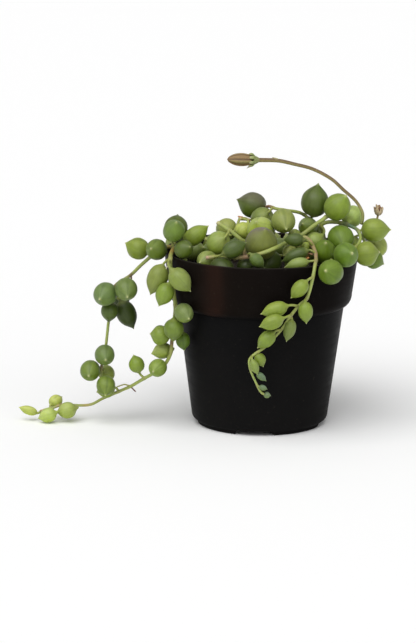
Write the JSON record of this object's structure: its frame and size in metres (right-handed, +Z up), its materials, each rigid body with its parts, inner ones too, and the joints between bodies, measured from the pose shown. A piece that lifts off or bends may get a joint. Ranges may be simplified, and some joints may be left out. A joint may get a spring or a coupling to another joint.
{
  "type": "potted string of raindrops",
  "caption": "Trailing succulent with round pointed leaves on thin stems, a long flower stalk and a bud, in a tapered black nursery pot.",
  "frame": {"origin": "middle of the whole object's box, at the plane the pot stands on", "axes": "+Z up; -Y faces the viewer, the side with the stem that hangs down the pot's front; -X is the side where the long stem trails out along the ground"},
  "size_m": [0.1454, 0.0972, 0.1075],
  "materials": {
    "pot": "satin black moulded plastic, with a glossier rim band",
    "soil": "dark crumbly potting mix",
    "flower_stalk": "matte olive brown",
    "flower_bud": "matte ribbed brown",
    "spent_flower": "dry brown",
    "stem_left_outer": "smooth waxy green with a soft sheen",
    "stem_left_long": "smooth waxy green with a soft sheen",
    "stem_front": "smooth waxy green with a soft sheen",
    "stem_long": "smooth waxy green with a soft sheen",
    "stem_upper": "smooth waxy green with a soft sheen",
    "stem_centre": "smooth waxy green with a soft sheen",
    "stem_right": "smooth waxy green with a soft sheen",
    "stem_right_front": "smooth waxy green with a soft sheen",
    "stem_left_front": "smooth waxy green with a soft sheen",
    "stem_middle": "smooth waxy green with a soft sheen",
    "stem_back_left": "smooth waxy green with a soft sheen",
    "stem_back_middle": "smooth waxy green with a soft sheen",
    "stem_back_right": "smooth waxy green with a soft sheen"
  },
  "bodies": {
    "root": {"pot": "pot", "soil": "soil", "stem_left_outer": "stem_left_outer", "stem_left_long": "stem_left_long", "stem_front": "stem_front", "stem_long": "stem_long", "stem_upper": "stem_upper", "stem_centre": "stem_centre", "stem_right": "stem_right", "stem_right_front": "stem_right_front", "stem_left_front": "stem_left_front", "stem_middle": "stem_middle", "stem_back_left": "stem_back_left", "stem_back_middle": "stem_back_middle", "stem_back_right": "stem_back_right", "flower_stalk": "flower_stalk", "flower_bud": "flower_bud", "spent_flower": "spent_flower"}
  },
  "joints": []
}
